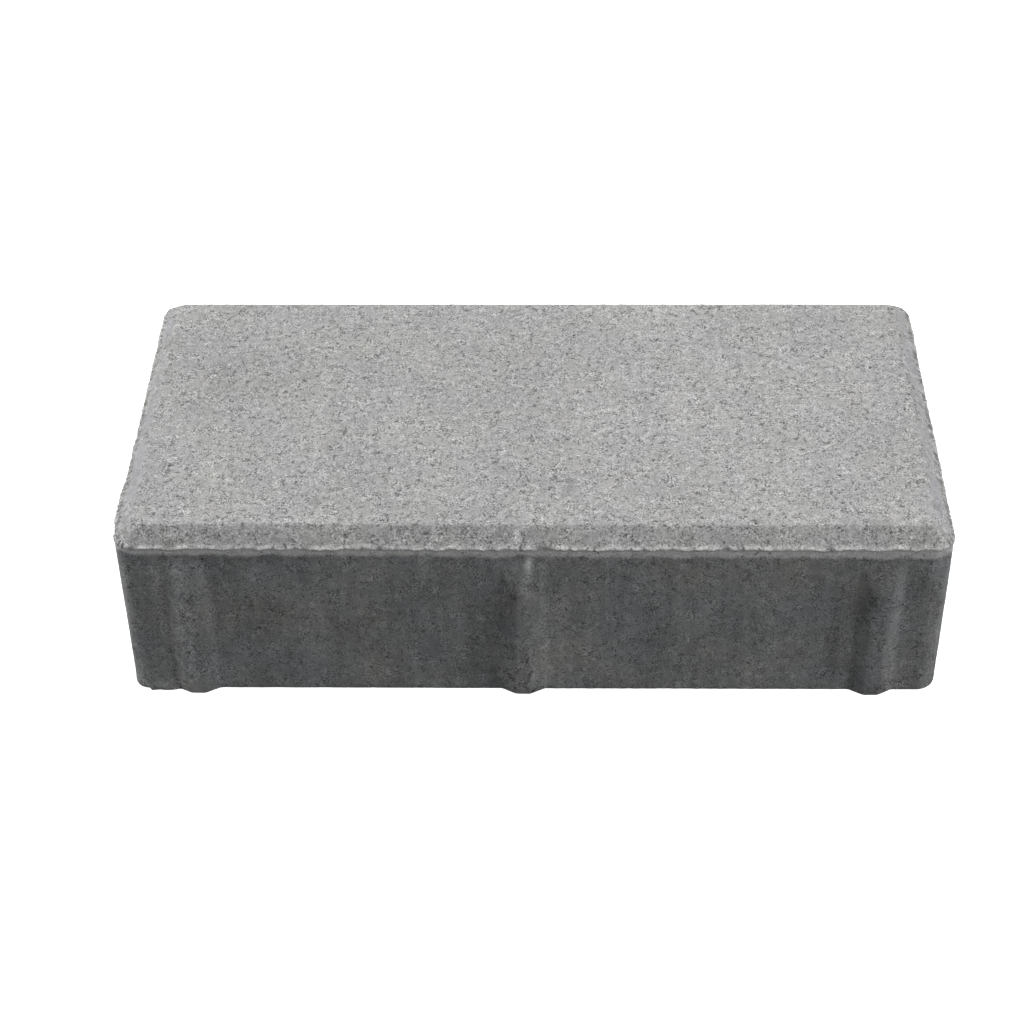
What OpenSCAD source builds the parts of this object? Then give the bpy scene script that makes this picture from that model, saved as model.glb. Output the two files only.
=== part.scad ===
// Rectangular concrete paving stone, pressed in one piece: a chamfered wearing
// face on top, rounded upright corners, and spacer ribs that hold the joint open.
// Origin: centre of the bed face. +X along the length, +Z up to the wearing face.

/* [Stone] */
// Length between the end faces, without the spacer ribs
stone_length = 200; // [160:1:300]
// Width between the long faces, without the spacer ribs
stone_width = 100; // [80:1:200]
// Thickness from the bed to the wearing face
stone_thickness = 50; // [40:1:100]
// Radius of the four upright corners
corner_radius = 5; // [3:0.5:8]

/* [Chamfer] */
// How far the chamfer reaches in from the sides
chamfer_width = 4.5; // [2:0.5:8]
// How far the chamfer drops below the wearing face
chamfer_drop = 3.5; // [2:0.5:8]

/* [Spacer ribs] */
// How far a rib stands out from its side
rib_projection = 2; // [1.5:0.1:3]
// Width of a rib's flat crest
rib_crest = 3.6; // [2:0.1:6]
// Slope of a rib's flanks, measured from the side that the rib stands on
rib_flank_angle = 30; // [25:1:45]
// Radius that eases a rib's crest edges and feet
rib_easing = 1.5; // [0.5:0.1:1.8]
// Height of plain side left between the chamfer and a rib's top
rib_top_gap = 4.5; // [3:0.5:12]
// Height over which a rib's top slopes back to the side
rib_ramp = 9; // [4:0.5:15]
// From the end of a side to the middle of its outer ribs
rib_end_inset = 16.5; // [14:0.5:30]
// How far the long sides' middle rib stands left of centre, seen from outside
middle_rib_shift = 2.5; // [0:0.5:10]

/* [Hidden] */
concrete_grey = [0.55, 0.55, 0.55];

side_height = stone_thickness - chamfer_drop;
flank_run = rib_projection / tan(rib_flank_angle);
easing_run = rib_easing * tan(rib_flank_angle / 2);
rib_foot = rib_crest / 2 + flank_run + easing_run;
rib_top = side_height - rib_top_gap;
rib_root = 2 * rib_easing; // depth of a rib that lies inside the stone
easing_lap = 0.001;        // how far a flank runs into its easings, to meet them cleanly
cut_margin = 1;            // how far a cutting shape passes the stone
round_fn = 96;

// Where the ribs stand along the side that faces +Y and the end that faces -X.
long_side_ribs = [
    -(stone_length / 2 - rib_end_inset),
    middle_rib_shift,
    stone_length / 2 - rib_end_inset
];
end_face_ribs = [
    -(stone_width / 2 - rib_end_inset),
    stone_width / 2 - rib_end_inset
];

// Upright section of the stone across a span, chamfered at both top corners.
module chamfered_section(span) {
    polygon([
        [-span / 2, 0],
        [span / 2, 0],
        [span / 2, side_height],
        [span / 2 - chamfer_width, stone_thickness],
        [-span / 2 + chamfer_width, stone_thickness],
        [-span / 2, side_height]
    ]);
}

// The block with its chamfers mitred at square corners.
module square_cornered_block() {
    intersection() {
        rotate([90, 0, 0])
            linear_extrude(stone_width, center = true)
                chamfered_section(stone_length);
        rotate([90, 0, 90])
            linear_extrude(stone_length, center = true)
                chamfered_section(stone_width);
    }
}

// Quarter round that takes the place of a square corner, its chamfer part of a cone.
// A chamfer wider than the corner radius runs that cone up to a point.
module quarter_corner() {
    rotate_extrude(angle = 90, $fn = round_fn)
        intersection() {
            polygon([
                [-chamfer_width, 0],
                [corner_radius, 0],
                [corner_radius, side_height],
                [corner_radius - chamfer_width, stone_thickness],
                [-chamfer_width, stone_thickness]
            ]);
            square([corner_radius, stone_thickness]);
        }
}

// Puts a quarter corner's shape at all four corners, turned to face outwards.
module at_each_corner() {
    for (turn = [0, 180])
        rotate([0, 0, turn]) {
            translate([stone_length / 2 - corner_radius, stone_width / 2 - corner_radius, 0])
                children();
            translate([-stone_length / 2 + corner_radius, stone_width / 2 - corner_radius, 0])
                rotate([0, 0, 90])
                    children();
        }
}

module stone_body() {
    difference() {
        square_cornered_block();
        at_each_corner()
            translate([0, 0, -cut_margin])
                cube([
                    corner_radius + cut_margin,
                    corner_radius + cut_margin,
                    stone_thickness + 2 * cut_margin
                ]);
    }
    at_each_corner()
        quarter_corner();
}

// Plan outline of a rib that stands out along +Y from a side lying along X. Each
// flank runs straight from a hollow easing at the foot to a round one at the crest.
module rib_plan() {
    foot_centre = [rib_foot, rib_easing];
    crest_centre = [rib_crest / 2 - easing_run, rib_projection - rib_easing];
    to_flank = (rib_easing - easing_lap) * [sin(rib_flank_angle), cos(rib_flank_angle)];
    half_outline = [
        [rib_foot, -rib_root],
        [rib_foot, 0],
        foot_centre - to_flank,
        crest_centre + to_flank,
        [crest_centre.x, rib_projection]
    ];
    difference() {
        polygon(concat(
            half_outline,
            [for (i = [len(half_outline) - 1:-1:0]) [-half_outline[i].x, half_outline[i].y]]
        ));
        for (side = [-1, 1])
            translate([side * foot_centre.x, foot_centre.y])
                circle(rib_easing, $fn = round_fn);
    }
    for (side = [-1, 1])
        translate([side * crest_centre.x, crest_centre.y])
            circle(rib_easing, $fn = round_fn);
}

// One rib, its top sloping back to the side.
module spacer_rib() {
    ramp_slope = rib_ramp / rib_projection;
    difference() {
        linear_extrude(rib_top)
            rib_plan();
        rotate([90, 0, 90])
            linear_extrude(2 * (rib_foot + cut_margin), center = true)
                polygon([
                    [0, rib_top],
                    [rib_projection + cut_margin, rib_top - rib_ramp - cut_margin * ramp_slope],
                    [rib_projection + cut_margin, rib_top + cut_margin],
                    [0, rib_top + cut_margin]
                ]);
    }
}

// Ribs at their places along one face, which faces +Y at its distance from the centre.
module rib_row(face_distance, places) {
    for (place = places)
        translate([place, face_distance, 0])
            spacer_rib();
}

module paving_stone() {
    color(concrete_grey) {
        stone_body();
        // Half a turn brings the stone back onto its own outline.
        for (turn = [0, 180])
            rotate([0, 0, turn]) {
                rib_row(stone_width / 2, long_side_ribs);
                rotate([0, 0, 90])
                    rib_row(stone_length / 2, end_face_ribs);
            }
    }
}

paving_stone();
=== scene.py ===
"""The looks of a pressed concrete paving stone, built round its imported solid.

Shapes are worked out in millimetres, like the tools that made the mould, and go
into Blender in metres. X runs along the stone, Z up, and the bed lies at Z 0.
"""

import math

import bpy
import numpy as np
from mathutils import Matrix, Vector, noise


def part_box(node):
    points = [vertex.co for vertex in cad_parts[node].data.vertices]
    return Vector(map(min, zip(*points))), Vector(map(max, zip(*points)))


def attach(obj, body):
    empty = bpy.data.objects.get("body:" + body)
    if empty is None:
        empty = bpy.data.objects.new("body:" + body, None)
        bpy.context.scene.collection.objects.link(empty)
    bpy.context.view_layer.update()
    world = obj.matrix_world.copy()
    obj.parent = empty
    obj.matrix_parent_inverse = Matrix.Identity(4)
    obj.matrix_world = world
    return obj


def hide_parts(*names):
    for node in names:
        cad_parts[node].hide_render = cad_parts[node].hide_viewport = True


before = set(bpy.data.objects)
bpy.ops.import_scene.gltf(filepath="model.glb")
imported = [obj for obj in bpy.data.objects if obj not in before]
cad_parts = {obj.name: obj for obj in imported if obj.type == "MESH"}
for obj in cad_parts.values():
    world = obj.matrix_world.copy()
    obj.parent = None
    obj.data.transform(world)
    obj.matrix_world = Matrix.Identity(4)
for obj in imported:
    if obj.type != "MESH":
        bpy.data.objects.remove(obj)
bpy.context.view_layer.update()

# ---- The stone's outline ----------------------------------------------------------
# One piece of earth-damp concrete, packed into a steel mould by a vibrating press and
# pushed out of it while still soft. The mould gives the rounded upright corners, the
# press head the chamfered wearing face.
MM = 0.001
rib_out = 2.0
low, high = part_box("paving_stone")
half_length = high.x / MM - rib_out
half_width = high.y / MM - rib_out
thickness = high.z / MM
corner_radius = 5.0
chamfer_in, chamfer_down = 4.5, 3.5
chamfer_slope = chamfer_down / chamfer_in
arris = thickness - chamfer_down
top_corner_radius = 2.4     # the press head's corners are rounder than the mould's
table_in = 5.4              # where the chamfer's soft upper edge has run out
edge_softness = 0.22

cell = 0.705                # how fine the skin is; grain smaller than this is bump
bed_cells = 3               # the bed's cells are this many times larger
columns = bed_cells * round(2 * (half_length - chamfer_in) / cell / bed_cells)
rows = bed_cells * round(2 * (half_width - chamfer_in) / cell / bed_cells)
ring = 2 * (columns + rows)


def outline(inset):
    """Points and outward directions round the stone, this far in from its sides."""
    radius = corner_radius - (corner_radius - top_corner_radius) * inset / chamfer_in
    sides = []
    turns = [(1, 0), (0, 1), (-1, 0), (0, -1)]
    for turn, (cos, sin) in enumerate(turns):
        run, depth = (half_length, half_width) if turn % 2 == 0 else (half_width, half_length)
        straight = run - inset - radius
        bend = radius * math.pi / 4
        count = columns if turn % 2 == 0 else rows
        s = np.linspace(-straight - bend, straight + bend, count, endpoint=False)
        angle = np.sign(s) * np.clip(np.abs(s) - straight, 0, None) / radius
        x = np.clip(s, -straight, straight) + radius * np.sin(angle)
        y = radius - depth + inset - radius * np.cos(angle)
        out_x, out_y = np.sin(angle), -np.cos(angle)
        sides.append(np.stack([
            cos * x - sin * y, sin * x + cos * y,
            cos * out_x - sin * out_y, sin * out_x + cos * out_y,
        ]))
    return np.concatenate(sides, axis=1)


# Where each point of a ring lies along its own side, seen from outside: rightwards.
side_of = np.repeat(np.arange(4), [columns, rows, columns, rows])
side_x, side_y, face_x, face_y = outline(0)
along = np.choose(side_of, [side_x, side_y, -side_x, -side_y])


def lumps(points, size, stretch=(1, 1, 1), seed=0):
    """Soft random lumps of this size in mm, from about -1 to 1, one value a point."""
    elsewhere = seed * 7.31         # each seed reads another part of the same noise
    scaled = points / (size * np.array(stretch)) + elsewhere
    return np.array([noise.noise(p) for p in scaled.tolist()])


# ---- Spacer ribs ------------------------------------------------------------------
# Part of the stone: grooves in the mould's wall press three ribs on each long side and
# two on each end. They run up from the bed, with eased edges, and slope back at the top.
rib_crest = 3.6
rib_flank = math.radians(30)
rib_easing = 1.5
rib_ramp, ramp_softness = 9.0, 0.12
rib_top_gap = 4.5           # plain side between the arris and a rib's top
rib_top = arris - rib_top_gap
rib_end_inset = 16.5        # from the end of a side to the middle of its outer ribs
middle_rib = -2.5
long_side_ribs = [-(half_length - rib_end_inset), middle_rib, half_length - rib_end_inset]
end_ribs = [-(half_width - rib_end_inset), half_width - rib_end_inset]


def rib_profile(u):
    """How far a rib stands out, this far along the side from its middle."""
    u = np.abs(u)
    flank_foot = rib_crest / 2 + rib_out / math.tan(rib_flank)
    eased = rib_easing * math.tan(rib_flank / 2)
    foot, shoulder = flank_foot + eased, rib_crest / 2 - eased
    reach = rib_easing * math.sin(rib_flank)
    out = (flank_foot - u) * math.tan(rib_flank)
    at_foot = rib_easing - np.sqrt(np.clip(rib_easing ** 2 - (foot - u) ** 2, 0, None))
    at_crest = rib_out - rib_easing + np.sqrt(
        np.clip(rib_easing ** 2 - (u - shoulder) ** 2, 0, None))
    out = np.where(u > foot - reach, at_foot, out)
    out = np.where(u < shoulder + reach, at_crest, out)
    return np.where(u >= foot, 0, np.where(u <= shoulder, rib_out, out))


def ribs_at(z):
    """How far the ribs stand out round the whole stone at this height."""
    out = np.zeros(ring)
    well_clear = 8              # further than half a rib's width
    for places, sides in ((long_side_ribs, (0, 2)), (end_ribs, (1, 3))):
        for place in places:
            here = np.isin(side_of, sides) & (np.abs(along - place) < well_clear)
            out[here] = np.maximum(out[here], rib_profile(along[here] - place))
    ramp = rib_out * (rib_top - z) / rib_ramp
    lower = 0.5 * (out + ramp - np.sqrt((out - ramp) ** 2 + ramp_softness ** 2))
    return np.clip(np.where(out > 0, lower, 0), 0, None)


# ---- Flash along the arris --------------------------------------------------------
# Fine paste squeezed out between the mould's wall and the press head. It sets as a thin
# ragged lip along the arris: nearly whole on the long sides, and on the ends chattered
# into teeth as the stone was pushed out. One lump stands out near the front left corner.
ring_points = np.stack([side_x, side_y, np.full(ring, arris)], axis=1)
long_side = np.isin(side_of, (0, 2))
chance = np.random.default_rng(4).random(ring)
from_corner = np.where(long_side, half_length, half_width) - np.abs(along)
corner_reach, corner_fade = 4.5, 2.0
near_corner = np.clip((corner_reach - from_corner) / corner_fade, 0, 1)
crowded = side_y < 22 - half_width             # the teeth crowd towards the front corners
rarity = np.where(crowded, 0.3, 0.6)
teeth = np.where(np.arange(ring) % 2 == 0, (chance > rarity) * (0.6 + 0.4 * chance), 0)
breaks = np.clip(4 * lumps(ring_points, 1.6, seed=6) - 1.1, 0, 1)
gap_at, gap_reach = 3.5, 1.5                   # a wider gap, above the middle rib's right side
gap = np.clip(1.5 - np.abs(along - gap_at) / gap_reach, 0, 1)
breaks = np.maximum(breaks, (side_of == 0) * gap)
torn = np.where(long_side, breaks, teeth)
torn = np.maximum(torn, near_corner * teeth)
lip = 0.85 + 0.6 * lumps(ring_points, 4.5, seed=1) + 0.8 * lumps(ring_points, 1.4, seed=2)
lip = np.clip(lip, 0.1, 1.7) * (1 - 0.5 * near_corner)
lip *= 1 - 0.9 * torn
sway = 0.5 * lumps(ring_points, 4.2, seed=3) + 0.45 * lumps(ring_points, 1.5, seed=4)

swell_middle, swell_reach, swell_depth = 34.5, 9.5, 4.0     # along the left end, then down
swell = np.where(side_of == 3, np.clip(1 - ((along - swell_middle) / swell_reach) ** 2, 0, 1), 0)
swell *= 0.6 + 0.3 * lumps(ring_points, 1.5, seed=5)

# A crumb that was squeezed out under the mould's wall, left of the front left rib, and
# the foot of the corner beside it, less rounded than the others.
crumb_from, crumb_to, crumb_height = -95.8, -87.8, 1.6
crumb_step, crumb_taper = 0.3, 1.8
crumb = np.minimum((along - crumb_from) / crumb_step, (crumb_to - along) / crumb_taper)
crumb = (side_of == 0) * np.clip(crumb, 0, 1) * (1.0 + 0.3 * lumps(ring_points, 1.3, seed=8))
crumb = np.maximum(crumb, 1.4 * np.clip(-face_x, 0, 1) * np.clip(-face_y, 0, 1) ** 2)

# ---- Skin of the stone ------------------------------------------------------------
# Rings of points from the bed up the sides, over the flash and up the chamfer, with
# a fine grid for the wearing face and a coarser one for the bed.
side_rows = 40
side_top = arris - 1.25     # the flash begins a little above
sill = 0.25                 # the bed's edge is a little rounded where the stone was slid off
levels = [(0.18, 0.0), (0.04, 0.06), (0.0, sill)]      # in from the side, height
levels += [(0.0, z) for z in np.linspace(sill, side_top, side_rows)[1:]]
lip_steps = [               # out from the side, height over the arris, share of the lip
    (0.0, -0.95, 0.0), (0.2, -0.64, 1.0), (0.3, -0.43, 1.0), (0.27, -0.25, 1.0),
    (0.1, -0.12, 1.0), (-0.2, 0.12, 1.0), (-0.58, 0.45, 0.0)
]
chamfer_steps = [1.1, 1.65, 2.2, 2.75, 3.3, 3.8, 4.2, 4.45, 4.7, 5.0, table_in]


def chamfer_height(inset):
    """Height of the chamfered face this far in, with its upper edge softened."""
    below = (chamfer_in - inset) * chamfer_slope
    return thickness - 0.5 * (below + math.hypot(below, edge_softness))


rings = []
for inset, z in levels:
    x, y, out_x, out_y = outline(inset)
    out = ribs_at(z) + swell * np.clip((z - arris + swell_depth) / swell_depth, 0, 1) ** 2
    out += crumb * np.clip(crumb_height - z, 0, 1)
    rings.append(np.stack([x + out * out_x, y + out * out_y, np.full(ring, z)], axis=1))
for out, over, share in lip_steps:
    bare_over = max(-out, 0) * chamfer_slope if over > 0 else over    # with no lip at all
    x, y, out_x, out_y = outline(max(-out, 0))
    lean = max(out, 0) * share * lip * np.where(long_side, 1, 0.8) + swell * (1 + min(out, 0))
    z = arris + bare_over + (over - bare_over) * (lip if share else 1) + share * sway
    rings.append(np.stack([x + lean * out_x, y + lean * out_y, z * np.ones(ring)], axis=1))
for inset in chamfer_steps:
    x, y, _, _ = outline(inset)
    rings.append(np.stack([x, y, np.full(ring, chamfer_height(inset))], axis=1))
skin_rings = len(rings)
lip_rings = slice(len(levels), len(levels) + len(lip_steps) - 1)
lip_edge = len(levels) + 2  # rings from here up belong to the face mix


def grid_inside(border, across, deep):
    """Points of a grid that fills a ring, its border points on the ring itself."""
    corner = np.cumsum([0, across, deep, across])
    near = border[corner[0]:corner[1] + 1]
    right = border[corner[1]:corner[2] + 1]
    far = border[corner[2]:corner[3] + 1][::-1]
    left = np.concatenate([border[corner[3]:], border[:1]])[::-1]
    u = np.linspace(0, 1, across + 1)[:, None, None]
    v = np.linspace(0, 1, deep + 1)[None, :, None]
    return (
        (1 - v) * near[:, None] + v * far[:, None]
        + (1 - u) * left[None, :] + u * right[None, :]
        - (1 - u) * (1 - v) * near[0] - u * (1 - v) * near[-1]
        - (1 - u) * v * far[0] - u * v * far[-1]
    )


def grid_numbers(border, across, deep, first):
    """Vertex numbers of such a grid: the ring's own on its border, new ones inside."""
    numbers = np.empty((across + 1, deep + 1), int)
    numbers[1:-1, 1:-1] = first + np.arange((across - 1) * (deep - 1)).reshape(across - 1, -1)
    numbers[:-1, 0] = border[:across]
    numbers[-1, :-1] = border[across:across + deep]
    numbers[1:, -1] = border[across + deep:2 * across + deep][::-1]
    numbers[0, 1:] = border[2 * across + deep:][::-1]
    return numbers


points = np.concatenate(rings)
numbers = np.arange(len(points)).reshape(skin_rings, ring)
face_grid = grid_inside(rings[-1], columns, rows)
face_numbers = grid_numbers(numbers[-1], columns, rows, len(points))
points = np.concatenate([points, face_grid[1:-1, 1:-1].reshape(-1, 3)])

bed_in = 1.6                # the coarser grid of the bed begins this far in
x, y, _, _ = outline(bed_in)
bed_border = np.stack([x, y, np.zeros(ring)], axis=1)[::bed_cells]
bed_columns, bed_rows = columns // bed_cells, rows // bed_cells
bed_ring = len(points) + np.arange(len(bed_border))
points = np.concatenate([points, bed_border])
bed_grid = grid_inside(bed_border, bed_columns, bed_rows)
bed_numbers = grid_numbers(bed_ring, bed_columns, bed_rows, len(points))
points = np.concatenate([points, bed_grid[1:-1, 1:-1].reshape(-1, 3)])

# Faces, each with its finish, which is the number of its material in the order that the
# materials are made below, and its place on the map that holds the colours when the
# stone leaves Blender: wearing face on top, two strips of sides, and the bed.
FACE, SIDE, BED = range(3)
face_middle, face_span = (0.5, 0.76), 1 / 190       # spans are map widths a millimetre
bed_middle, bed_span = (0.165, 0.082), 1 / 640
front_strip, back_strip, strip_span = 0.165, 0.345, 0.99 / 301
faces, finishes, map_places = [], [], []


def add_faces(quads, finish, places):
    faces.extend(quads.tolist())
    finishes.extend([finish] * len(quads))
    map_places.extend(places.tolist())


def laid_flat(table, middle, span):
    """Places on the map of points seen in plan."""
    return np.array(middle) + table[..., :2] * span


upwards = np.array([level[columns // 4] for level in rings])
steps_up = np.linalg.norm(np.diff(upwards, axis=0), axis=1)
run = np.concatenate([[0], np.cumsum(steps_up)]) * strip_span
half_ring = ring // 2
k = np.arange(ring)
following = (k + 1) % ring
strip_u = (k % half_ring) / half_ring
for i in range(skin_rings - 1):
    quads = np.stack([
        numbers[i], numbers[i][following], numbers[i + 1][following], numbers[i + 1]], axis=1)
    foot = np.where(k < half_ring, front_strip, back_strip)
    v0, v1 = foot + run[i], foot + run[i + 1]
    u0, u1 = strip_u, strip_u + 1 / half_ring
    places = np.stack([u0, v0, u1, v0, u1, v1, u0, v1], axis=1).reshape(ring, 4, 2)
    add_faces(quads, FACE if i >= lip_edge else SIDE, places)


def add_grid(numbers, finish, at):
    """Quads of a grid, with the places of its points on the map."""
    a, b, c, d = numbers[:-1, :-1], numbers[1:, :-1], numbers[1:, 1:], numbers[:-1, 1:]
    p, q, r, s = at[:-1, :-1], at[1:, :-1], at[1:, 1:], at[:-1, 1:]
    quads = np.stack([a, b, c, d], axis=-1).reshape(-1, 4)
    places = np.stack([p, q, r, s], axis=-2).reshape(-1, 4, 2)
    if finish == BED:
        quads, places = quads[:, ::-1], places[:, ::-1]
    add_faces(quads, finish, places)


add_grid(face_numbers, FACE, laid_flat(face_grid, face_middle, face_span))
add_grid(bed_numbers, BED, laid_flat(bed_grid, bed_middle, bed_span))
around = np.arange(len(bed_ring))
fine_edges = (bed_cells * around[:, None] + np.arange(bed_cells + 1)) % ring
coarse_edges = np.stack([around, (around + 1) % len(bed_ring)], axis=1)
fine_at = laid_flat(rings[0][fine_edges], bed_middle, bed_span)
coarse_at = laid_flat(bed_border[coarse_edges], bed_middle, bed_span)
for fine_picked, coarse_picked in (      # each coarse edge of the bed meets three fine ones
    ([1, 0], [0]), ([2, 1], [0, 1]), ([3, 2], [1]),
):
    fine_corners = numbers[0][fine_edges[:, fine_picked]]
    coarse_corners = bed_ring[coarse_edges[:, coarse_picked]]
    add_faces(
        np.concatenate([fine_corners, coarse_corners], axis=1), BED,
        np.concatenate([fine_at[:, fine_picked], coarse_at[:, coarse_picked]], axis=1))

skin = bpy.data.meshes.new("stone_skin")
skin.from_pydata(points.tolist(), [], faces)
skin.polygons.foreach_set("material_index", finishes)
skin.polygons.foreach_set("use_smooth", [True] * len(faces))

# ---- Relief of the skin -----------------------------------------------------------
# The wearing face is sandy, with open pores between the grains. The sides are dragged
# smooth by the mould's wall, with fine upright score lines and torn pits. The bed is
# the open side of the mould: coarse, and flat only where it stood on its pallet.
normals = np.array([v.vector[:] for v in skin.vertex_normals])
height = points[:, 2]
bed_edge = 0.05
on_side = np.clip((arris + 0.2 - height) / 0.3, 0, 1) * np.clip((height - bed_edge) / 0.3, 0, 1)
on_bed = (height < bed_edge).astype(float)
on_face = np.clip((height - arris - 0.4) / 0.5, 0, 1)

relief = 0.045 * lumps(points, 1.15, seed=11) + 0.04 * lumps(points, 2.4, seed=12)
relief += 0.035 * lumps(points, 9, seed=13)
sand = 0.075 * lumps(points, 0.95, seed=14)
scores = 0.05 * lumps(points, 1.3, stretch=(1, 1, 16), seed=15)
scores += 0.06 * lumps(points, 4.5, stretch=(1, 1, 7), seed=16)
torn_often = np.clip(0.6 + lumps(points, 12, seed=18), 0.1, 1)
tears = np.clip(lumps(points, 1.9, seed=17) - 0.5, 0, None) * torn_often
pores = np.clip(lumps(points, 1.5, seed=19) - 0.46, 0, None)
voids = 0.3 * np.clip(lumps(points, 3.4, seed=20), 0, None)
voids += 0.5 * np.clip(lumps(points, 6, seed=21) - 0.25, 0, None)
face_out, side_out = 0.04, 0.05     # how much prouder than the arris these finishes are
relief += on_face * (face_out + sand - 0.8 * pores) + on_side * (side_out + scores - 1.1 * tears)
drawn_in, proud_at_most, bed_off_table = 0.07, 0.05, 0.02
relief = np.minimum(relief - drawn_in, proud_at_most)
relief = np.where(on_bed > 0, -voids - bed_off_table, relief)
points = points + normals * relief[:, None]
clear = 0.01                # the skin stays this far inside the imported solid's box
low_mm = np.array(low) / MM
high_mm = np.array(high) / MM
points = np.clip(points, low_mm + [clear, clear, 0], high_mm - clear)
skin.vertices.foreach_set("co", (points * MM).ravel())

# ---- Marks of making and handling, and painted shade ------------------------------
# What the concrete's colours follow: pits darkened with painted shade and dust, pale
# paste on the flash, the chamfers, which get painted shade, their smoother ends, and
# smears, scuffs and stains, with painted light and shade on the front round its ribs.


def keep(name, values):
    """Stores one value a point on the skin, for the materials to read."""
    made = skin.attributes.new(name, "FLOAT", "POINT")
    made.data.foreach_set("value", np.broadcast_to(values, len(points)))


def spots(across, up, places):
    """Soft spots: middle and half spread both ways in mm, and how pale they are."""
    tone = np.zeros(len(points))
    for at_across, at_up, spread_across, spread_up, paleness in places:
        tone += paleness * np.exp(
            -((across - at_across) / spread_across) ** 2 - ((up - at_up) / spread_up) ** 2)
    return tone


# Painted shade and dust in the wearing face's pores, the sides' torn pits and the bed's voids.
hollow = on_face * pores * 3.5 + on_side * tears * 5 + on_bed * voids * 1.2

# Painted shade where the flash is torn, and on the ends a little way up the chamfer too,
# with a line of painted shade behind the teeth on the ends.
last_lip = lip_rings.stop - 1
pits = np.where(long_side, np.maximum(0.5 * breaks, near_corner * teeth), 0.72 * teeth)
hollow[numbers[lip_rings]] = pits
hollow[numbers[last_lip + 1]] = pits * np.where(long_side, 0.3, 1)
hollow[numbers[last_lip + 2]] = pits * np.where(long_side, 0, 0.35)
# A line of painted shade along the ends, just behind the teeth.
shade_line_behind_teeth = ~long_side * np.clip(0.42 + 0.9 * lumps(ring_points, 0.9, seed=33), 0, 0.9)
shade_line_behind_teeth *= np.where(crowded, 0.75, 1)
for i, depth in enumerate((0.5, 1, 0.8), last_lip):
    hollow[numbers[i]] = np.maximum(hollow[numbers[i]], shade_line_behind_teeth * depth)
keep("hollow", np.clip(hollow, 0, 1))

fines = np.zeros(len(points))
fines[numbers[lip_rings]] = np.where(long_side, 1, 0.15) * (1 - torn) * np.clip(lip, 0, 1)
keep("fines", fines)

chamfer = np.zeros(len(points))
smoothed = np.zeros(len(points))
for i, inset in enumerate(chamfer_steps, len(levels) + len(lip_steps)):
    chamfer[numbers[i]] = inset <= chamfer_in
    smoothed[numbers[i]] = ~long_side * (1 - near_corner) * (1.5 < inset < 4)
keep("chamfer", chamfer)
keep("smoothed", smoothed * np.clip(0.6 + 0.8 * lumps(points, 7, seed=32), 0.15, 1))

# Marks on the front: lime smears and stains, and painted light and shade on and beside the ribs.
front_marks = [                        # along the front, then up it
    (-1.0, 41.5, 0.9, 3, 1.5),         # lime smeared down from the arris
    (-26, 41, 1.6, 4.5, 0.35),
    (6, 6, 3.5, 7, 0.3),               # round the middle rib: paler to its right, with painted light and shade on it and at its feet
    (6, 21, 3.5, 11, 0.14),
    (3.2, 20, 1.3, 14, 0.3),
    (1.2, 16, 1, 22, -0.25),
    (-1.5, 34, 2.2, 5, 0.2),
    (8.2, 6, 1.1, 7, -0.25),
    (-6.2, 7, 1.9, 10, 0.35),
    (-9.5, 5, 1.4, 6, -0.3),
    (-4.6, 33, 1.2, 5, -0.35),         # painted shade on its left flank, and a painted shadow cast to its left
    (-13, 15, 6, 16, -0.2),
    (-84.5, 20, 2.4, 60, 0.32),        # the left rib, scuffed pale, with painted light on its left flank and the left corner
    (-83.6, 14, 1.6, 18, 0.45),
    (-89.6, 20, 1.3, 60, 0.28),
    (-94.5, 10, 2.5, 14, 0.12),
    (-98.5, 20, 1.4, 40, 0.2),
    (74, 20, 3.5, 60, -0.12),          # darker round the right rib: painted shade on its left flank, a painted highlight on its right
    (79.5, 20, 2, 22, -0.14),
    (81.8, 33, 1.3, 5, -0.4),
    (85.5, 4, 2.6, 7, -0.18),
    (84.7, 22, 1.3, 40, -0.18),
    (88.3, 33, 1, 6, 0.25),
    (92.5, 22, 2.5, 60, -0.15),
    (32, 14, 11, 6, -0.09),
    (-70, 43, 32, 2, -0.12),           # darker just under the pale band
    (0, 0, 400, 18, 0.08),
]
face_marks = [                         # along the wearing face, then across it
    (-70, 14, 16, 13, -0.07),          # a darker patch, and slow changes to the right
    (60, 0, 40, 40, 0.03),
    (36, 2, 22, 36, 0.045),
    (6, -24, 20, 18, 0.035),
    (-72, 24, 22, 22, -0.035),
    (-38, -6, 13, 14, -0.03),
    (0, 46, 400, 1.8, 0.07),           # the back edge, dried paler
    (-54, 2, 1.3, 16, 0.09),           # pale streaks left by the press head
    (-47, 6, 1.0, 13, 0.07),
    (-78, -20, 1.4, 16, 0.07),
    (48, 20, 1.2, 10, 0.11),
    (13, -2, 2.2, 4.5, 0.16),          # lime spots
    (32, 41, 2, 2, 0.16),
    (-77.6, -27, 1.0, 1.0, 0.25),
    (-53, -20, 1.2, 1.2, 0.2),
    (9, -31, 1.3, 4, -0.2),            # where grains were plucked out
    (28, 3, 3, 6, -0.1),
    (-52, -37, 1, 2, -0.22),
    (-3.8, -47.8, 0.6, 1.1, 0.9),      # a spot of lime on the front chamfer
]
blotchy = 1 + 0.6 * lumps(points, 2.2, seed=31)
on_front = (points[:, 1] < 1 - half_width) & (height < arris)
# On the front the marks are stains and smears, and painted light and shade round the ribs.
marks_and_painted_shading = np.where(on_front, spots(points[:, 0], height, front_marks), 0)
marks_and_painted_shading = np.where(height > arris, spots(points[:, 0], points[:, 1], face_marks), marks_and_painted_shading)
keep("marks_and_painted_shading", marks_and_painted_shading * blotchy)

bake_map = skin.uv_layers.new(name="OFBake")
bake_map.data.foreach_set("uv", np.concatenate([np.array(p) for p in map_places]).ravel())
skin.update()
stone = bpy.data.objects.new("pressed_stone", skin)
bpy.context.scene.collection.objects.link(stone)

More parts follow.
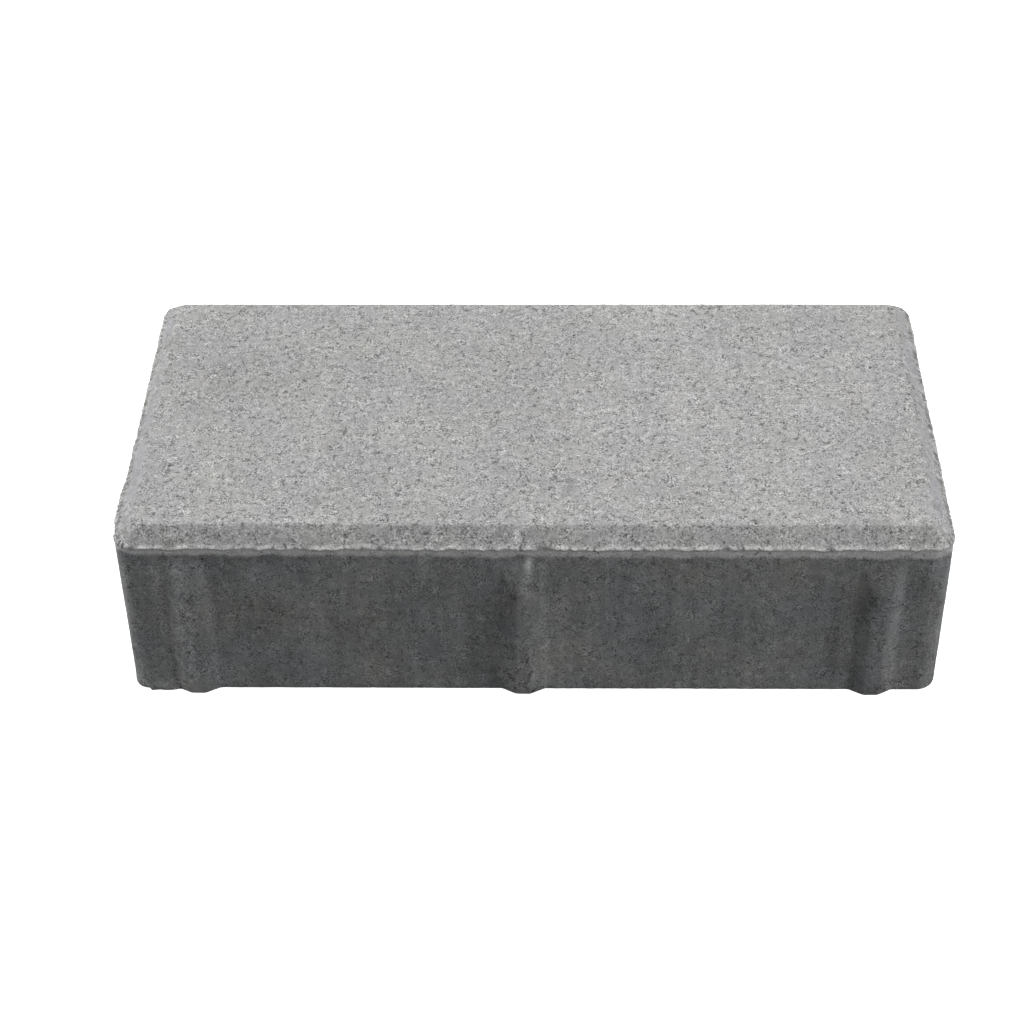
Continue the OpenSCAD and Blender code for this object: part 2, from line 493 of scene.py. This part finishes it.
# ---- Shared effects in the concrete -----------------------------------------------
# What every concrete surface shows, each effect built once as a node group: sand grains,
# open pores and slow changes of tone. They give tones, heights and masks.


def link(tree, source, target):
    tree.links.new(source, target)


def node(tree, kind, x, y, **settings):
    made = tree.nodes.new(kind)
    made.location = (x, y)
    for name, value in settings.items():
        setattr(made, name, value)
    return made


def feed(tree, made, values):
    """Sets a node's inputs: a socket is linked, and anything else is its value."""
    for name, value in values.items():
        if isinstance(value, bpy.types.NodeSocket):
            link(tree, value, made.inputs[name])
        else:
            made.inputs[name].default_value = value
    return made


def math_node(tree, operation, x, y, *values):
    made = node(tree, "ShaderNodeMath", x, y, operation=operation)
    return feed(tree, made, dict(enumerate(values))).outputs[0]


def noise_at(tree, x, y, place, scale, detail, roughness, distortion=0.0):
    """Soft noise from 0 to 1, with this many patches a metre."""
    made = node(tree, "ShaderNodeTexNoise", x, y)
    return feed(tree, made, {
        "Vector": place, "Scale": scale, "Detail": detail, "Roughness": roughness,
        "Distortion": distortion}).outputs["Fac"]


def scaled_range(tree, x, y, value, low_in, high_in, low_out, high_out, smooth=False):
    made = node(tree, "ShaderNodeMapRange", x, y)
    made.interpolation_type = "SMOOTHSTEP" if smooth else "LINEAR"
    return feed(tree, made, {
        "Value": value, "From Min": low_in, "From Max": high_in,
        "To Min": low_out, "To Max": high_out}).outputs["Result"]


def effect_group(name, settings, results):
    """A node group that takes a place and these settings and gives these results."""
    tree = bpy.data.node_groups.new(name, "ShaderNodeTree")
    tree.interface.new_socket(name="Vector", in_out="INPUT", socket_type="NodeSocketVector")
    for setting, usual in settings.items():
        made = tree.interface.new_socket(
            name=setting, in_out="INPUT", socket_type="NodeSocketFloat")
        made.default_value = usual
    for result in results:
        tree.interface.new_socket(name=result, in_out="OUTPUT", socket_type="NodeSocketFloat")
    given = node(tree, "NodeGroupInput", -900, 0)
    put = node(tree, "NodeGroupOutput", 700, 0)
    return tree, given.outputs, put.inputs


# Sand grains bound in cement paste: light and dark specks under half a millimetre
# across, and clumps of them four times that size.
sand_group, given, put = effect_group(
    "sand grains", {"Grains per metre": 1300.0}, ("Tone", "Height"))
clump_scale = math_node(sand_group, "MULTIPLY", -750, -150, given["Grains per metre"], 0.25)
specks = noise_at(
    sand_group, -600, 200, given["Vector"], given["Grains per metre"], 1.0, 0.5, distortion=0.7)
clumps = noise_at(sand_group, -600, -150, given["Vector"], clump_scale, 1.0, 0.5, distortion=0.2)
specks_tone = scaled_range(sand_group, -350, 200, specks, 0.28, 0.72, -1, 1)
clumps_tone = scaled_range(sand_group, -350, -150, clumps, 0.3, 0.7, -0.34, 0.34)
link(sand_group, math_node(sand_group, "ADD", -100, 100, specks_tone, clumps_tone), put["Tone"])
link(sand_group, math_node(sand_group, "ADD", -100, -100, specks, clumps), put["Height"])

# Open pores between the grains: small ragged holes, which the materials fill with painted shade.
pore_group, given, put = effect_group(
    "open pores", {"Pores per metre": 800.0, "Rarity": 0.66}, ("Mask",))
holes = noise_at(
    pore_group, -600, 200, given["Vector"], given["Pores per metre"], 1.0, 0.6, distortion=0.6)
over = math_node(pore_group, "SUBTRACT", -300, 200, holes, given["Rarity"])
link(pore_group, scaled_range(pore_group, 0, 200, over, 0.0, 0.05, 0, 1, smooth=True), put["Mask"])

# Slow changes, where the mix was wetter, coarser or dried in another way.
patch_group, given, put = effect_group("tone patches", {}, ("Tone", "Hue", "Sandiness"))
wide = noise_at(patch_group, -600, 200, given["Vector"], 28.0, 2.0, 0.55)
small = noise_at(patch_group, -600, -100, given["Vector"], 150.0, 2.0, 0.5)
hue = noise_at(patch_group, -600, -400, given["Vector"], 60.0, 3.0, 0.6)
sandy = noise_at(patch_group, -600, -700, given["Vector"], 260.0, 2.0, 0.5)
wide_tone = scaled_range(patch_group, -350, 200, wide, 0.3, 0.7, -0.6, 0.6)
small_tone = scaled_range(patch_group, -350, -100, small, 0.3, 0.7, -0.6, 0.6)
link(patch_group, math_node(patch_group, "ADD", 0, 0, wide_tone, small_tone), put["Tone"])
link(patch_group, scaled_range(patch_group, -350, -400, hue, 0.35, 0.65, 0, 1), put["Hue"])
link(patch_group, scaled_range(patch_group, -350, -700, sandy, 0.3, 0.7, -1, 1), put["Sandiness"])

# ---- Concrete as a material -------------------------------------------------------
# Wearing face, sides and bed are the same hardened paste and sand, finished in another
# way each. Every one is coloured by its grains, pores and patches and by the marks above.


def grey(value, warmth=0.0):
    return (value * (1 + warmth), value, value * (1 - warmth), 1)


def blend(tree, x, y, kind, amount, first, second):
    made = node(tree, "ShaderNodeMix", x, y, data_type="RGBA", blend_type=kind)
    made.clamp_result = False
    return feed(tree, made, {0: amount, 6: first, 7: second}).outputs[2]


def toned(tree, x, y, colour, tone, depth):
    """A colour made lighter and darker by a tone that runs from about -1 to 1."""
    factor = math_node(tree, "MULTIPLY_ADD", x, y, tone, depth, 1.0)
    join = node(tree, "ShaderNodeCombineColor", x + 180, y)
    feed(tree, join, {channel: factor for channel in range(3)})
    return blend(tree, x + 360, y, "MULTIPLY", 1.0, colour, join.outputs[0])


def laid_over(tree, x, y, under, mask, share, over):
    """A colour with another over it where a mask says, and at most this share of that."""
    amount = math_node(tree, "MULTIPLY", x - 180, y - 200, mask, share)
    return blend(tree, x, y, "MIX", amount, under, over)


def concrete(name, grains, pores, rarity, marks):
    """A material, its shader, and what its colours can follow: effects and marks.

    The materials join the stone in the order of its finishes.
    """
    made = bpy.data.materials.new(name)
    made.use_nodes = True
    stone.data.materials.append(made)
    tree = made.node_tree
    shader = tree.nodes["Principled BSDF"]
    shader.location = (1400, 0)
    tree.nodes["Material Output"].location = (1700, 0)
    shader.inputs["Specular IOR Level"].default_value = 0.35
    seen = {"Place": node(tree, "ShaderNodeTexCoord", -1400, 300).outputs["Object"]}
    for effect, group, y, rates in (
        ("Sand", sand_group, 300, {"Grains per metre": grains}),
        ("Pore", pore_group, 0, {"Pores per metre": pores, "Rarity": rarity}),
        ("Slow", patch_group, -300, {}),
    ):
        used = node(tree, "ShaderNodeGroup", -1100, y, node_tree=group)
        feed(tree, used, {"Vector": seen["Place"], **rates})
        for result in used.outputs:
            seen[f"{effect} {result.name}"] = result
    for i, mark in enumerate(marks):
        seen[mark] = node(
            tree, "ShaderNodeAttribute", -1400, -200 * i, attribute_name=mark).outputs["Fac"]
    seen["hollow"] = scaled_range(
        tree, -1100, -600, seen["hollow"], 0.15, 0.75, 0, 1, smooth=True)
    return tree, shader, seen


def surface(tree, shader, seen, colour, roughest, smoothest, reach, pore_depth=1.0):
    """Gives the shader its colour, and roughness and bumps that follow the grains.

    Dark grains are the roughest, and the bumps reach this far, in metres.
    """
    link(tree, colour, shader.inputs["Base Color"])
    rough = scaled_range(tree, 1100, -100, seen["Sand Tone"], -1, 1, roughest, smoothest)
    link(tree, rough, shader.inputs["Roughness"])
    pitted = math_node(tree, "MULTIPLY", 500, -400, seen["Pore Mask"], pore_depth)
    height = math_node(tree, "SUBTRACT", 700, -300, seen["Sand Height"], pitted)
    bump = node(tree, "ShaderNodeBump", 1100, -400)
    feed(tree, bump, {"Strength": 1.0, "Distance": reach, "Height": height})
    link(tree, bump.outputs["Normal"], shader.inputs["Normal"])


# ---- Wearing face -----------------------------------------------------------------
# The face mix: pale fine concrete. The table is sandy; on the end chamfers the press
# head has smoothed the paste, which looks a little bluer.
tree, shader, seen = concrete(
    "wearing face", grains=2400.0, pores=850.0, rarity=0.66,
    marks=("hollow", "fines", "chamfer", "smoothed", "marks_and_painted_shading"))
violet, warm = (0.466, 0.459, 0.47, 1), (0.475, 0.472, 0.459, 1)
# The chamfers get a darker copy of the paste: painted shade on all four.
chamfer_painted_shade, smoothed_tint = grey(0.93), (0.965, 0.965, 1.01, 1)
paste = blend(tree, -700, 300, "MIX", seen["Slow Hue"], violet, warm)
paste_in_painted_shade = blend(tree, -600, 700, "MULTIPLY", 1.0, paste, chamfer_painted_shade)
paste = blend(tree, -500, 500, "MIX", seen["chamfer"], paste, paste_in_painted_shade)
colour = toned(tree, -300, 300, paste, seen["Slow Tone"], 0.08)
grain_depth = scaled_range(tree, -300, 0, seen["smoothed"], 0, 1, 0.54, 0.2)
sandiness = math_node(tree, "MULTIPLY_ADD", -300, -200, seen["Slow Sandiness"], 0.55, 1.0)
grain_depth = math_node(tree, "MULTIPLY", -100, 0, grain_depth, sandiness)
colour = toned(tree, 0, 300, colour, seen["Sand Tone"], grain_depth)
colour = toned(tree, 150, 600, colour, seen["marks_and_painted_shading"], 1.0)
bluer = blend(tree, 400, 700, "MULTIPLY", 1.0, colour, smoothed_tint)
colour = blend(tree, 550, 500, "MIX", seen["smoothed"], colour, bluer)
lime = toned(tree, 300, -200, grey(0.74, 0.01), seen["Sand Tone"], 0.36)
colour = laid_over(tree, 700, 300, colour, seen["fines"], 0.9, lime)
pore_share = scaled_range(tree, 300, 100, seen["smoothed"], 0, 1, 0.75, 0.1)
# Painted shade in the open pores, less where the press head smoothed the paste.
colour = laid_over(tree, 850, 300, colour, seen["Pore Mask"], pore_share, grey(0.17, 0.02))
# Painted shade and dust in pores, torn flash and the line behind the teeth.
colour = laid_over(tree, 1000, 300, colour, seen["hollow"], 0.75, grey(0.12, 0.02))
surface(tree, shader, seen, colour, roughest=0.95, smoothest=0.8, reach=0.00012, pore_depth=1.5)

# ---- Pressed sides ----------------------------------------------------------------
# The core mix under the face: darker and coarser, drawn smooth by the mould's wall.
# A pale band of face mix shows along the arris.
tree, shader, seen = concrete(
    "pressed sides", grains=2300.0, pores=700.0, rarity=0.67,
    marks=("hollow", "fines", "marks_and_painted_shading"))
upright = node(tree, "ShaderNodeMapping", -1100, -900)
feed(tree, upright, {"Vector": seen["Place"], "Scale": (1, 1, 0.12)})
drag = noise_at(tree, -900, -900, upright.outputs[0], 260.0, 3.0, 0.6)
drag_tone = scaled_range(tree, -700, -900, drag, 0.3, 0.7, -1, 1)
steel, olive = (0.239, 0.246, 0.257, 1), (0.249, 0.252, 0.244, 1)
colour = blend(tree, -700, 300, "MIX", seen["Slow Hue"], steel, olive)
colour = toned(tree, -500, 300, colour, seen["Slow Tone"], 0.17)
colour = toned(tree, -100, 300, colour, drag_tone, 0.15)
grain_depth = math_node(tree, "MULTIPLY_ADD", 100, 100, seen["Slow Sandiness"], 0.34, 0.46)
colour = toned(tree, 300, 300, colour, seen["Sand Tone"], grain_depth)
# Stains, smears and scuffs, and on the front painted light and shade round the ribs.
colour = toned(tree, 500, 500, colour, seen["marks_and_painted_shading"], 1.0)

# The band's foot waves, and lies a little lower towards the right end. All in metres.
band_foot_height, band_waviness, band_fall, band_blur = 0.0423, 0.0032, -0.005, 0.0007
split = node(tree, "ShaderNodeSeparateXYZ", -900, -1500)
link(tree, seen["Place"], split.inputs[0])
wave = noise_at(tree, -900, -1200, seen["Place"], 190.0, 3.0, 0.6)
band_foot = math_node(tree, "MULTIPLY_ADD", -700, -1200, wave, band_waviness, band_foot_height)
band_foot = math_node(
    tree, "MULTIPLY_ADD", -500, -1200, split.outputs["X"], band_fall, band_foot)
over_foot = math_node(tree, "SUBTRACT", -300, -1200, split.outputs["Z"], band_foot)
band = scaled_range(tree, -100, -1200, over_foot, -band_blur, band_blur, 0, 1, smooth=True)
pale = toned(tree, 300, 0, grey(0.545, 0.004), seen["Sand Tone"], 0.3)
pale = blend(tree, 700, 0, "MIX", seen["fines"], pale, grey(0.6, 0.01))
colour = blend(tree, 850, 200, "MIX", band, colour, pale)
# Painted shade in the pores.
colour = laid_over(tree, 1000, 300, colour, seen["Pore Mask"], 0.6, grey(0.09))
# Painted shade and dust in torn pits and gaps in the flash.
colour = laid_over(tree, 1150, 300, colour, seen["hollow"], 0.6, grey(0.11))
surface(tree, shader, seen, colour, roughest=0.92, smoothest=0.72, reach=0.00009)

# ---- Bed --------------------------------------------------------------------------
# The core mix where it stood on a pallet to harden: coarse grit and voids, smoothed by
# neither mould nor press head.
tree, shader, seen = concrete(
    "bed", grains=1100.0, pores=640.0, rarity=0.6, marks=("hollow",))
colour = toned(tree, -500, 300, grey(0.29), seen["Slow Tone"], 0.12)
colour = toned(tree, 0, 300, colour, seen["Sand Tone"], 0.4)
# Painted shade in the pores.
colour = laid_over(tree, 600, 300, colour, seen["Pore Mask"], 0.6, grey(0.09))
# Painted shade and dust in the voids.
colour = laid_over(tree, 900, 300, colour, seen["hollow"], 0.35, grey(0.14))
surface(tree, shader, seen, colour, roughest=0.97, smoothest=0.85, reach=0.0004)

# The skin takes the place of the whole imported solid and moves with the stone's one body.
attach(stone, "root")
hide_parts("paving_stone")

# ---- Studio -----------------------------------------------------------------------
# A wide white table under soft boxes: a main one at the front right with a low one under
# it, two from behind, and two low ones at the left. The camera is above the front.
scene = bpy.context.scene
scene.view_settings.view_transform = "Standard"
table_size = 40             # in metres, so that its edge lies far behind the stone
bpy.ops.mesh.primitive_plane_add(size=table_size)
table = bpy.context.object
table.name = "white_table"
table.visible_diffuse = False
table.visible_glossy = False
white = bpy.data.materials.new("white table")
white.use_nodes = True
tree = white.node_tree
shader = tree.nodes["Principled BSDF"]
feed(tree, shader, {
    "Base Color": grey(0.9), "Roughness": 0.9, "Specular IOR Level": 0.0,
    "Emission Color": grey(1.0), "Emission Strength": 0.97})
table.data.materials.append(white)

box_size, box_distance = 0.5, 1.3
soft_boxes = [                          # degrees round from the front, degrees up, watts
    ("main", 60, 35, 6.75), ("main_low", 60, 12, 2.3), ("back_right", 120, 35, 6.8),
    ("back_left", 240, 35, 9.5), ("left_low", 270, 12, 6.4), ("front_left_low", 300, 12, 2.5)
]
for name, round_from_front, above, watts in soft_boxes:
    turn, rise = math.radians(round_from_front), math.radians(above)
    toward = Vector((math.sin(turn) * math.cos(rise), -math.cos(turn) * math.cos(rise),
                     math.sin(rise)))
    lamp = bpy.data.lights.new(name, "AREA")
    lamp.shape = "DISK"
    lamp.size = box_size
    lamp.energy = watts
    holder = bpy.data.objects.new(name, lamp)
    holder.location = toward * box_distance
    holder.rotation_euler = toward.to_track_quat("Z", "Y").to_euler()
    scene.collection.objects.link(holder)

scene.world = bpy.data.worlds.new("studio")
scene.world.use_nodes = True
tree = scene.world.node_tree
feed(tree, tree.nodes["Background"], {"Color": grey(1.0), "Strength": 0.02})

camera = bpy.data.objects.new("camera", bpy.data.cameras.new("camera"))
scene.collection.objects.link(camera)
camera.data.sensor_width = 36
camera.data.lens = 78.8
camera.data.clip_start = 0.01
camera_place = (0.00517, -0.44942, 0.39372)
look_left, look_down, tilt = (math.radians(a) for a in (1.42, 40.07, -0.82))
camera.matrix_world = (
    Matrix.Translation(camera_place)
    @ Matrix.Rotation(look_left, 4, "Z")
    @ Matrix.Rotation(math.pi / 2 - look_down, 4, "X")
    @ Matrix.Rotation(tilt, 4, "Z"))
scene.camera = camera
